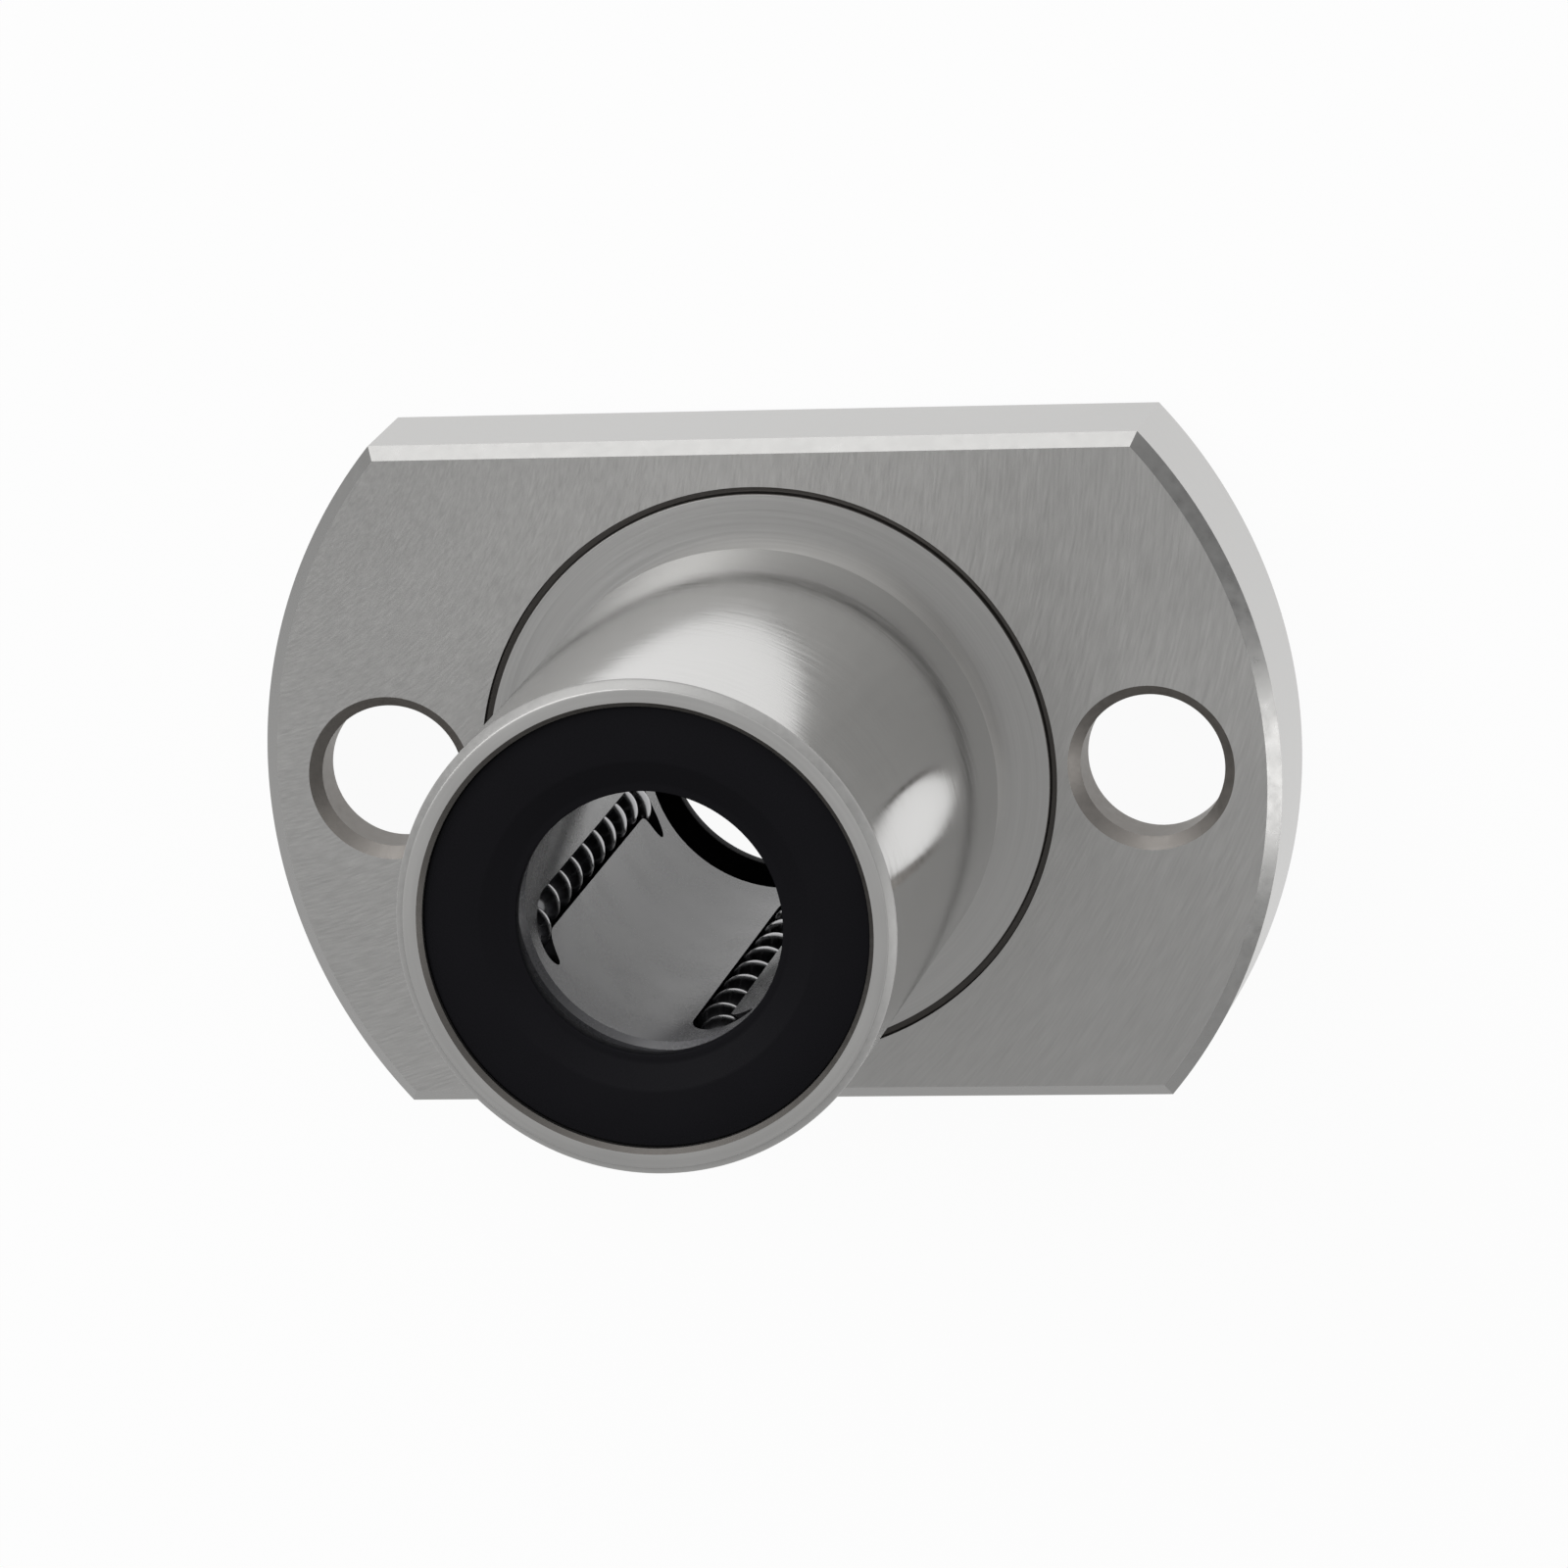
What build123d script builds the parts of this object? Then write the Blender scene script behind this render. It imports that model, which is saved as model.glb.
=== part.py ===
from build123d import *
from math import cos, radians, sin, sqrt
import os

# A linear ball bearing whose outer cylinder carries a flange with two flats.
# The shaft axis is +Z, the flange's outer face lies at Z = 0 and the tube's nose is at the top.
# The two screw holes lie on the X axis and the flats face +Y and -Y.

# Shaft and envelope
shaft_diameter = 8.0
tube_diameter = 15.0
overall_length = 24.0
tube_edge_chamfer = 0.25
end_face_inner_chamfer = 0.15

# Flange
flange_diameter = 32.0
flange_across_flats = 21.0
flange_thickness = 5.0
flange_edge_chamfer = 0.4

# Ground relief between flange and tube
neck_diameter = 13.9
neck_length = 1.3
shoulder_chamfer_length = 0.35

# Ring groove in the flange's tube side, around the neck
face_groove_diameter = 17.9
face_groove_width = 0.22
face_groove_depth = 0.3

# Screw holes
screw_spacing = 24.0
screw_hole_diameter = 4.5
screw_hole_chamfer = 0.35
counterbore_diameter = 7.2
counterbore_depth = 3.2
counterbore_chamfer = 0.2

# Balls and their circuits
ball_diameter = 1.5875
ball_gap = 0.055
circuit_count = 4
first_circuit_angle = 10.0
balls_per_turn = 2
race_clearance = 0.0125

# Raceway lands inside the outer cylinder
land_width = 1.9
land_ramp_length = 0.3
relief_clearance = 0.08

# Ball cage
cage_bore_clearance = 0.2
cage_outer_clearance = 0.1
cage_land_clearance = 0.1
track_clearance = 0.08
cage_end_wall = 0.5
cage_end_chamfer = 0.2

# End seals
seal_recess = 0.3
seal_thickness = 1.4
seal_seat_wall = 0.8
seal_fit_clearance = 0.02
seal_bead_height = 0.12
seal_bead_width = 0.4
seal_lip_length = 0.5
seal_lip_step_width = 0.25
seal_dish_width = 0.75
seal_back_relief = 0.5

# Stop rings that hold the cage along the axis
stop_shoulder_length = 0.4
stop_ring_thickness = 0.6
stop_ring_end_play = 0.05
stop_ring_cage_overlap = 0.33
stop_groove_depth = 0.25
stop_ring_fit_clearance = 0.03
stop_ring_gap_angle = 24.0

# Radii that follow from the sizes above
shaft_radius = shaft_diameter / 2
tube_radius = tube_diameter / 2
ball_radius = ball_diameter / 2
load_row_radius = shaft_radius + ball_radius
land_radius = load_row_radius + ball_radius + race_clearance
ball_spacing = ball_diameter + ball_gap
turn_step_angle = 180.0 / balls_per_turn
turn_radius = ball_spacing / 2 / sin(radians(turn_step_angle / 2))
row_spacing = 2 * turn_radius
return_row_radius = sqrt(load_row_radius**2 + row_spacing**2)
relief_radius = return_row_radius + ball_radius + relief_clearance
track_radius = ball_radius + track_clearance
cage_inner_radius = shaft_radius + cage_bore_clearance
cage_outer_radius = relief_radius - cage_outer_clearance
seal_seat_radius = tube_radius - seal_seat_wall
seal_radius = seal_seat_radius - seal_fit_clearance
stop_groove_radius = relief_radius + stop_groove_depth
stop_ring_outer_radius = stop_groove_radius - stop_ring_fit_clearance
stop_ring_inner_radius = cage_outer_radius - stop_ring_cage_overlap

# Places along the axis, measured in from either end face
seal_seat_depth = seal_recess + seal_thickness
stop_groove_start = seal_seat_depth + stop_shoulder_length
cage_start = stop_groove_start + stop_ring_thickness + stop_ring_end_play
cage_length = overall_length - 2 * cage_start
row_room = cage_length - 2 * (turn_radius + track_radius + cage_end_wall)
balls_per_row = int(row_room / ball_spacing)
row_length = balls_per_row * ball_spacing
middle = overall_length / 2
nose_tangent = middle + row_length / 2
flange_tangent = middle - row_length / 2

# A length longer than anything it cuts
CUT = 2 * (flange_diameter + overall_length)


def turned(points):
    """Solid of revolution about Z from a closed outline of (radius, height) points."""
    outline = Polyline(*[(radius, 0, height) for radius, height in points], close=True)
    return revolve(make_face(outline), axis=Axis.Z)


def disc(radius, bottom, top):
    """Upright cylinder between two heights."""
    cylinder = Cylinder(radius, top - bottom, align=(Align.CENTER, Align.CENTER, Align.MIN))
    return Pos(0, 0, bottom) * cylinder


def other_end(shape):
    """The same shape seen from the other end face."""
    return mirror(shape, about=Plane.XY.offset(middle))


def circuit_angles():
    return [first_circuit_angle + 360.0 / circuit_count * index for index in range(circuit_count)]


def flange_blank():
    """Round flange cut by two flats, with chamfered edges on both faces."""
    outline = Circle(flange_diameter / 2) & Rectangle(flange_diameter, flange_across_flats)
    blank = extrude(outline, flange_thickness)
    edges = blank.faces().sort_by(Axis.Z)[0].edges() + blank.faces().sort_by(Axis.Z)[-1].edges()
    return chamfer(edges, flange_edge_chamfer)


def tube_blank():
    """Turned tube with a ground neck at the flange and a chamfered nose."""
    neck_radius = neck_diameter / 2
    shoulder = flange_thickness + neck_length
    return turned(
        [
            (0, 0.5 * flange_thickness),
            (neck_radius, 0.5 * flange_thickness),
            (neck_radius, shoulder),
            (tube_radius, shoulder + shoulder_chamfer_length),
            (tube_radius, overall_length - tube_edge_chamfer),
            (tube_radius - tube_edge_chamfer, overall_length),
            (0, overall_length),
        ]
    )


def face_groove():
    """Narrow ring groove cut into the flange's tube side around the neck."""
    middle_radius = face_groove_diameter / 2
    floor = flange_thickness - face_groove_depth
    outer = disc(middle_radius + face_groove_width / 2, floor, flange_thickness)
    return outer - disc(middle_radius - face_groove_width / 2, 0, CUT)


def screw_hole():
    """Chamfered through hole with a counterbore from the outer face, on the Z axis."""
    hole = screw_hole_diameter / 2
    head = counterbore_diameter / 2
    over = screw_hole_chamfer
    return turned(
        [
            (0, -over),
            (head + counterbore_chamfer + over, -over),
            (head, counterbore_chamfer),
            (head, counterbore_depth),
            (hole, counterbore_depth),
            (hole, flange_thickness - screw_hole_chamfer),
            (hole + screw_hole_chamfer + over, flange_thickness + over),
            (0, flange_thickness + over),
        ]
    )


def land_ring():
    """Ring that the raceway lands are cut from, with ramps beyond the ends of the ball rows."""
    outer = (relief_radius + tube_radius) / 2
    slope = land_ramp_length / (relief_radius - land_radius)
    ramp = slope * (outer - land_radius)
    return turned(
        [
            (land_radius, flange_tangent),
            (outer, flange_tangent - ramp),
            (outer, nose_tangent + ramp),
            (land_radius, nose_tangent),
        ]
    )


def lands():
    """Four raceway lands, one over each load row."""
    ring = land_ring()
    bar = Pos(load_row_radius, 0, middle) * Box(2 * ball_diameter, land_width, overall_length)
    bars = [Rot(0, 0, angle) * bar for angle in circuit_angles()]
    return [ring & item for item in bars]


def end_seat():
    """Seal seat, snap groove and stop ring groove, cut in from the flange end."""
    over = end_face_inner_chamfer
    bead_middle = seal_recess + seal_thickness / 2
    bead_half = seal_bead_width / 2 + seal_fit_clearance
    bead_radius = seal_seat_radius + seal_bead_height
    return turned(
        [
            (0, -over),
            (seal_seat_radius + 2 * over, -over),
            (seal_seat_radius, over),
            (seal_seat_radius, bead_middle - bead_half - seal_bead_height),
            (bead_radius, bead_middle - bead_half),
            (bead_radius, bead_middle + bead_half),
            (seal_seat_radius, bead_middle + bead_half + seal_bead_height),
            (seal_seat_radius, seal_seat_depth),
            (relief_radius, seal_seat_depth),
            (relief_radius, stop_groove_start),
            (stop_groove_radius, stop_groove_start),
            (stop_groove_radius, cage_start),
            (0, cage_start),
        ]
    )


def outer_cylinder():
    """Ground steel cylinder and flange in one piece, hollow, with four raceway lands."""
    body = flange_blank() + tube_blank() - face_groove()
    body -= [Pos(side * screw_spacing / 2, 0, 0) * screw_hole() for side in (-1, 1)]
    hollow = disc(relief_radius, -CUT, CUT)
    for land in lands():
        hollow -= land
    body -= hollow
    seat = end_seat()
    return body - seat - other_end(seat)


def ball_track():
    """Round channel of one circuit: two straight rows joined by two half turns."""
    row = Pos(load_row_radius, 0, middle) * Cylinder(track_radius, row_length)
    channel = row + Pos(0, row_spacing, 0) * row
    for tangent, direction in ((nose_tangent, 1), (flange_tangent, -1)):
        section = Pos(load_row_radius, 0, tangent) * Circle(track_radius)
        pivot = Axis((load_row_radius, turn_radius, tangent), (-direction, 0, 0))
        channel += revolve(section, axis=pivot, revolution_arc=180)
    return channel


def ball_cage():
    """Moulded cage with four ball circuits and four grooves that clear the raceway lands."""
    cage = disc(cage_outer_radius, cage_start, overall_length - cage_start)
    cage = chamfer(cage.edges().filter_by(GeomType.CIRCLE), cage_end_chamfer)
    cage -= disc(cage_inner_radius, -CUT, CUT)
    groove_floor = land_radius - cage_land_clearance
    groove_width = land_width + 2 * cage_land_clearance
    slot = Box(CUT, groove_width, CUT, align=(Align.MIN, Align.CENTER, Align.CENTER))
    slot -= disc(groove_floor, -CUT, CUT)
    track = ball_track()
    for angle in circuit_angles():
        cage -= Rot(0, 0, angle) * slot
        cage -= Rot(0, 0, angle) * track
    return cage


def end_seal():
    """Rubber end seal at the flange end, dished towards its lip on the outside."""
    bead_middle = seal_recess + seal_thickness / 2
    bead_half = seal_bead_width / 2
    bead_radius = seal_radius + seal_bead_height
    lip_start = seal_seat_depth - seal_back_relief - seal_lip_length
    dish_radius = shaft_radius + seal_lip_step_width + seal_dish_width
    return turned(
        [
            (dish_radius, seal_recess),
            (seal_radius, seal_recess),
            (seal_radius, bead_middle - bead_half - seal_bead_height),
            (bead_radius, bead_middle - bead_half),
            (bead_radius, bead_middle + bead_half),
            (seal_radius, bead_middle + bead_half + seal_bead_height),
            (seal_radius, seal_seat_depth),
            (dish_radius, seal_seat_depth),
            (shaft_radius + seal_lip_step_width, lip_start + seal_lip_length),
            (shaft_radius, lip_start + seal_lip_length),
            (shaft_radius, lip_start),
            (shaft_radius + seal_lip_step_width, lip_start),
        ]
    )


def stop_ring():
    """Open spring ring in the groove between the seal and the cage, at the flange end."""
    top = stop_groove_start + stop_ring_thickness
    ring = disc(stop_ring_outer_radius, stop_groove_start, top)
    ring -= disc(stop_ring_inner_radius, -CUT, CUT)
    half_gap = stop_ring_outer_radius * sin(radians(stop_ring_gap_angle / 2))
    gap = Box(CUT, 2 * half_gap, CUT, align=(Align.MIN, Align.CENTER, Align.CENTER))
    return ring - gap


def ball(sideways, height):
    """One ball of a circuit whose load row lies over the X axis."""
    return Pos(load_row_radius, sideways, height) * Sphere(ball_radius)


def row_of_balls(sideways):
    """Straight row of balls, evenly spaced about the middle of the bearing."""
    first = middle - ball_spacing * (balls_per_row - 1) / 2
    heights = [first + ball_spacing * index for index in range(balls_per_row)]
    return [ball(sideways, height) for height in heights]


def turn_of_balls(tangent, direction):
    """Balls in a half turn, which bulges towards the nose (+1) or the flange (-1)."""
    balls = []
    for index in range(balls_per_turn):
        angle = radians(turn_step_angle * (index + 0.5))
        sideways = turn_radius * (1 - cos(angle))
        height = tangent + direction * turn_radius * sin(angle)
        balls.append(ball(sideways, height))
    return balls


def circuit_parts(number, angle):
    """The four groups of balls of one circuit, by node name."""
    groups = {
        "load_row": row_of_balls(0),
        "return_row": row_of_balls(row_spacing),
        "nose_turn": turn_of_balls(nose_tangent, 1),
        "flange_turn": turn_of_balls(flange_tangent, -1),
    }
    turn = Rot(0, 0, angle)
    return {
        f"circuit_{number}_{name}_balls": Compound(children=[turn * item for item in balls])
        for name, balls in groups.items()
    }


def bearing():
    """Every piece of the bearing by node name."""
    seal = end_seal()
    ring = stop_ring()
    parts = {
        "flanged_outer_cylinder": outer_cylinder(),
        "ball_cage": ball_cage(),
        "nose_end_seal": other_end(seal),
        "flange_end_seal": seal,
        "nose_stop_ring": Rot(0, 0, 180) * other_end(ring),
        "flange_stop_ring": ring,
    }
    for number, angle in enumerate(circuit_angles(), start=1):
        parts.update(circuit_parts(number, angle))
    return parts


os.makedirs("parts", exist_ok=True)
for node, shape in bearing().items():
    export_step(shape, f"parts/{node}.step")
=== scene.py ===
"""Visible pieces of a flanged linear ball bearing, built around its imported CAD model.

The shaft axis is +Z, the flange stands on the floor and the tube's nose is at the top.
Meshes are shaped in millimetres and scaled to metres as they become objects.
"""

import math
from types import SimpleNamespace

import bmesh
import bpy
from mathutils import Matrix, Vector


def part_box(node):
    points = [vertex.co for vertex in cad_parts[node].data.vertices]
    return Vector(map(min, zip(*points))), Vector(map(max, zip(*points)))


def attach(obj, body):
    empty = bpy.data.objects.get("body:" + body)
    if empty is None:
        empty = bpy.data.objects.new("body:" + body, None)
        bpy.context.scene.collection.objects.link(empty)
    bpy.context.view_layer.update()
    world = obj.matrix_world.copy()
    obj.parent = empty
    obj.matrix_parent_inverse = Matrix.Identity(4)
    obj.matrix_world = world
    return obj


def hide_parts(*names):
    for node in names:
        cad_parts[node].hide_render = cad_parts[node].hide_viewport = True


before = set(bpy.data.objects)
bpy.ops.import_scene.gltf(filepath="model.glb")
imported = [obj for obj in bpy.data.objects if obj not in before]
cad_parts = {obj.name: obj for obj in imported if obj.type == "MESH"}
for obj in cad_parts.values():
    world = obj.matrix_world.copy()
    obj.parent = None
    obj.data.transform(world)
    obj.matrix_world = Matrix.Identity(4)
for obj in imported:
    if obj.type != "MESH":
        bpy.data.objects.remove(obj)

bl_info = {
    "name": "Flanged linear bearing",
    "version": (1, 0, 0),
    "blender": (4, 5, 0),
    "location": "View3D > Sidebar > Bearing",
    "description": "Builds the visible pieces of a flanged linear ball bearing on its CAD model",
    "category": "Add Mesh",
}

MM = 0.001
FULL_TURN = 2 * math.pi
ORIGIN = (0.0, 0.0, 0.0)
UPRIGHT = (0.0, 0.0, 1.0)

# Steps round a full turn; the housing's number puts steps at the edges of the lands,
# and the flange's number puts steps at the corners of its flats
HOUSING_STEPS = 288
FLANGE_STEPS = 316
HOLE_STEPS = 96
SEAL_STEPS = 192
RING_STEPS = 192
CAGE_STEPS = 192
TRACK_SECTION_STEPS = 32

# Steps along a track's half turn, across a land groove and round a rounded corner
TRACK_TURN_STEPS = 24
LAND_GROOVE_STEPS = 8
ROUNDING_STEPS = 3

BALL_SUBDIVISIONS = 4

# Order of the housing's finishes among its material slots
# The groove's finish is a much darker steel that paints shade into the ring groove and onto the
# seal seat's chamfer at the nose
GROUND_FACE, GROUND_TUBE, TURNED, BORE, CHAMFER, NOSE_RING, NOSE_EDGE, HOLE_RIM, GROOVE_PAINTED_SHADE = range(9)

# A unit normal's part along an axis, on flat, nearly flat and sloping faces
FLAT = 0.99
NEARLY_FLAT = 0.9
SLOPING = 0.3

# Shares of a rounding and of a chamfer that take the groove's painted shade or the hole rim's
# steel beside them
GROOVE_EDGE_SHARE = 0.6
HOLE_RIM_SHARE = 0.75

# Weight of height against radius in round lines, so that slopes of 45 degrees get them too
HEIGHT_WEIGHT = 0.93

# Vertices of the bore that lie nearer than this to a load row come in to its land
LAND_HALF_ANGLE = math.radians(9.8)

# Edges between faces that bend more than this stay sharp
SHARP_ANGLE = math.radians(28.0)

# Distances in millimetres
MERGE_DISTANCE = 0.0005
CORNER_DISTANCE = 0.01
LEVEL_TOLERANCE = 0.001
PLANE_DISTANCE = 1e-5
CUTTER_MARGIN = 1.0
FLOOR_REACH = 1500.0
FLOOR_DROP = 0.02

HOUSING_LOW, HOUSING_HIGH = (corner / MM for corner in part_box("flanged_outer_cylinder"))
CAGE_LOW, CAGE_HIGH = (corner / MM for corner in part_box("ball_cage"))
OVERALL_LENGTH = HOUSING_HIGH.z - HOUSING_LOW.z
MIDDLE = OVERALL_LENGTH / 2


def length(title, about, millimetres):
    """A length property, with its default given in millimetres."""
    return bpy.props.FloatProperty(
        name=title,
        description=about,
        default=millimetres * MM,
        min=0.0,
        precision=6,
        unit="LENGTH",
    )


def colour(title, about, red, green, blue):
    """A linear colour property."""
    return bpy.props.FloatVectorProperty(
        name=title,
        description=about,
        default=(red, green, blue),
        min=0.0,
        max=1.0,
        size=3,
        subtype="COLOR",
    )


class BearingHousingSettings(bpy.types.PropertyGroup):
    """Sizes and steel of the outer cylinder with its flange."""

    tube_diameter: length("Tube diameter", "Outside of the ground tube", 15.0)
    tube_edge_chamfer: length("Nose chamfer", "Chamfer round the tube's nose", 0.25)
    flange_thickness: length("Flange thickness", "Between the flange's two faces", 5.0)
    flange_edge_chamfer: length("Flange chamfer", "Chamfer round both flange faces", 0.4)
    neck_diameter: length("Neck diameter", "Relief between flange and tube", 13.9)
    neck_length: length("Neck length", "Height of the relief above the flange", 1.3)
    shoulder_length: length("Shoulder length", "Slope from the neck up to the tube", 0.35)
    groove_diameter: length("Groove diameter", "Middle of the flange's ring groove", 17.9)
    groove_width: length("Groove width", "Across that groove", 0.22)
    groove_depth: length("Groove depth", "Depth of that groove", 0.3)
    screw_spacing: length("Screw spacing", "Between the two screw holes", 24.0)
    hole_diameter: length("Hole diameter", "Through each screw hole", 4.5)
    hole_chamfer: length("Hole chamfer", "On the tube side of the flange", 0.35)
    counterbore_diameter: length("Counterbore diameter", "Seat of a screw head", 7.2)
    counterbore_depth: length("Counterbore depth", "From the flange's outer face", 3.2)
    counterbore_chamfer: length("Counterbore chamfer", "Round the counterbore", 0.2)
    edge_rounding: length("Edge rounding", "Rounding of the tube's corners", 0.05)
    steel: colour("Steel", "Colour of the bright steel", 0.60, 0.595, 0.585)
    # Dark steel, darkened further, is also the painted shade of the ring groove and of the seat's
    # chamfer at the nose
    dark_steel: colour("Dark steel", "Colour of the hole rims and the groove", 0.27, 0.255, 0.24)


class BearingBoreSettings(bpy.types.PropertyGroup):
    """Sizes of the hollow inside the outer cylinder."""

    relief_radius: length("Relief radius", "Bore between the raceway lands", 6.20063)
    land_radius: length("Land radius", "Bore over the raceway lands", 5.6)
    land_ramp: length("Land ramp", "Slope at each end of a land", 0.3)
    seat_radius: length("Seal seat radius", "Bore that holds an end seal", 6.7)
    seat_depth: length("Seal seat depth", "From an end face to the seat's floor", 1.7)
    seat_chamfer: length("Seal seat chamfer", "At the end faces", 0.15)
    bead_height: length("Bead height", "Depth of the snap groove", 0.12)
    bead_half_width: length("Bead half width", "Half the snap groove's width", 0.22)
    bead_middle: length("Bead middle", "From an end face to the snap groove", 1.0)
    groove_radius: length("Ring groove radius", "Groove of a stop ring", 6.45063)
    groove_start: length("Ring groove start", "From an end face to that groove", 2.1)
    groove_end: length("Ring groove end", "From an end face to its far side", 2.75)


class BearingSealSettings(bpy.types.PropertyGroup):
    """Sizes and rubber of the two end seals."""

    recess: length("Recess", "From an end face to the seal", 0.3)
    thickness: length("Thickness", "Of the seal's rim", 1.4)
    radius: length("Radius", "Outside of the seal", 6.68)
    bead_height: length("Bead height", "Snap bead round the seal", 0.12)
    bead_half_width: length("Bead half width", "Half the bead's width", 0.2)
    dish_radius: length("Dish radius", "Where the dish towards the lip begins", 5.0)
    lip_step_radius: length("Lip step radius", "Foot of the lip", 4.25)
    lip_radius: length("Lip radius", "The lip that runs on the shaft", 4.0)
    lip_start: length("Lip start", "From an end face to the lip", 0.7)
    lip_end: length("Lip end", "From an end face to the lip's far side", 1.2)
    rounding: length("Rounding", "Of the moulded corners", 0.06)
    rubber: colour("Rubber", "Colour of the black rubber", 0.006, 0.0058, 0.0076)


class BearingRingSettings(bpy.types.PropertyGroup):
    """Sizes of the two open stop rings behind the seals."""

    outer_radius: length("Outer radius", "In the groove of the outer cylinder", 6.42063)
    inner_radius: length("Inner radius", "Over the cage's end", 5.77063)
    start: length("Start", "From an end face to the ring", 2.1)
    thickness: length("Thickness", "Along the shaft", 0.6)
    rounding: length("Rounding", "Of the ring's corners", 0.06)
    gap: bpy.props.FloatProperty(
        name="Gap",
        description="Opening of the ring",
        default=math.radians(24.0),
        subtype="ANGLE",
    )
    steel: colour("Spring steel", "Colour of the rings", 0.42, 0.42, 0.43)


class BearingCageSettings(bpy.types.PropertyGroup):
    """Sizes and resin of the ball cage."""

    inner_radius: length("Inner radius", "Bore of the cage", 4.2)
    outer_radius: length("Outer radius", "Outside of the cage", 6.10063)
    end_chamfer: length("End chamfer", "At both ends, inside and out", 0.2)
    land_groove_radius: length("Land groove radius", "Floor of a groove over a land", 5.5)
    land_groove_half_width: length("Groove half width", "Half a land groove", 1.05)
    track_radius: length("Track radius", "Section of the ball tracks", 0.87375)
    resin: colour("Resin", "Colour of the cage", 0.115, 0.115, 0.124)


class BearingBallSettings(bpy.types.PropertyGroup):
    """Sizes of the balls and of their four circuits."""

    shaft_diameter: length("Shaft diameter", "Of the shaft that the balls run on", 8.0)
    ball_diameter: length("Ball diameter", "One sixteenth of an inch", 1.5875)
    ball_gap: length("Ball gap", "Room between neighbouring balls", 0.055)
    balls_per_row: bpy.props.IntProperty(
        name="Balls in a row",
        description="Balls in each straight row",
        default=8,
        min=1,
    )
    balls_per_turn: bpy.props.IntProperty(
        name="Balls in a turn",
        description="Balls in each half turn",
        default=2,
        min=1,
    )
    circuits: bpy.props.IntProperty(
        name="Circuits",
        description="Ball circuits round the shaft",
        default=4,
        min=1,
    )
    first_angle: bpy.props.FloatProperty(
        name="First circuit",
        description="Angle of the first circuit's load row",
        default=math.radians(10.0),
        subtype="ANGLE",
    )
    steel: colour("Ball steel", "Colour of the polished balls", 0.38, 0.38, 0.39)


class BearingStageSettings(bpy.types.PropertyGroup):
    """Floor, light and camera."""

    floor: colour("Floor", "Colour of the floor", 0.86, 0.86, 0.86)
    floor_whiteness: bpy.props.FloatProperty(
        name="Floor whiteness",
        description="Share of plain white that the floor shows to the camera",
        default=0.95,
        min=0.0,
        max=1.0,
        subtype="FACTOR",
    )
    mirrored_whiteness: bpy.props.FloatProperty(
        name="Mirrored whiteness",
        description="Share of plain white that the floor shows in the steel",
        default=0.94,
        min=0.0,
        max=1.0,
        subtype="FACTOR",
    )
    front_sky: bpy.props.FloatProperty(
        name="Front sky",
        description="Brightness of the sky above and in front",
        default=0.43,
        min=0.0,
    )
    back_sky: bpy.props.FloatProperty(
        name="Back sky",
        description="Brightness of the sky behind the flange",
        default=1.0,
        min=0.0,
    )
    key_watts: bpy.props.FloatProperty(
        name="Key light",
        description="Power of the soft light behind on the left, in watts",
        default=0.5,
        min=0.0,
    )
    side_watts: bpy.props.FloatProperty(
        name="Side light",
        description="Power of the low light on the right, in watts",
        default=0.25,
        min=0.0,
    )
    back_watts: bpy.props.FloatProperty(
        name="Back light",
        description="Power of the low light behind the flange, in watts",
        default=0.4,
        min=0.0,
    )
    lens: bpy.props.FloatProperty(
        name="Lens",
        description="Focal length on a 36 mm sensor, in millimetres",
        default=256.4,
        min=1.0,
    )


def in_millimetres(group):
    """The values of a property group by name, with its lengths in millimetres."""
    values = {}
    for key, definition in group.bl_rna.properties.items():
        value = getattr(group, key)
        values[key] = value / MM if definition.unit == "LENGTH" else value
    return SimpleNamespace(**values)


class Signal:
    """A shader's socket, so that sums on values are written as plain expressions."""

    def __init__(self, shader, socket):
        self.shader = shader
        self.socket = socket

    def maths(self, operation, first, second):
        return self.shader.node("ShaderNodeMath", {"operation": operation}, {0: first, 1: second})

    def __add__(self, other):
        return self.maths("ADD", self, other)

    def __sub__(self, other):
        return self.maths("SUBTRACT", self, other)

    def __mul__(self, other):
        return self.maths("MULTIPLY", self, other)

    def __truediv__(self, other):
        return self.maths("DIVIDE", self, other)

    def __pow__(self, other):
        return self.maths("POWER", self, other)


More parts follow.
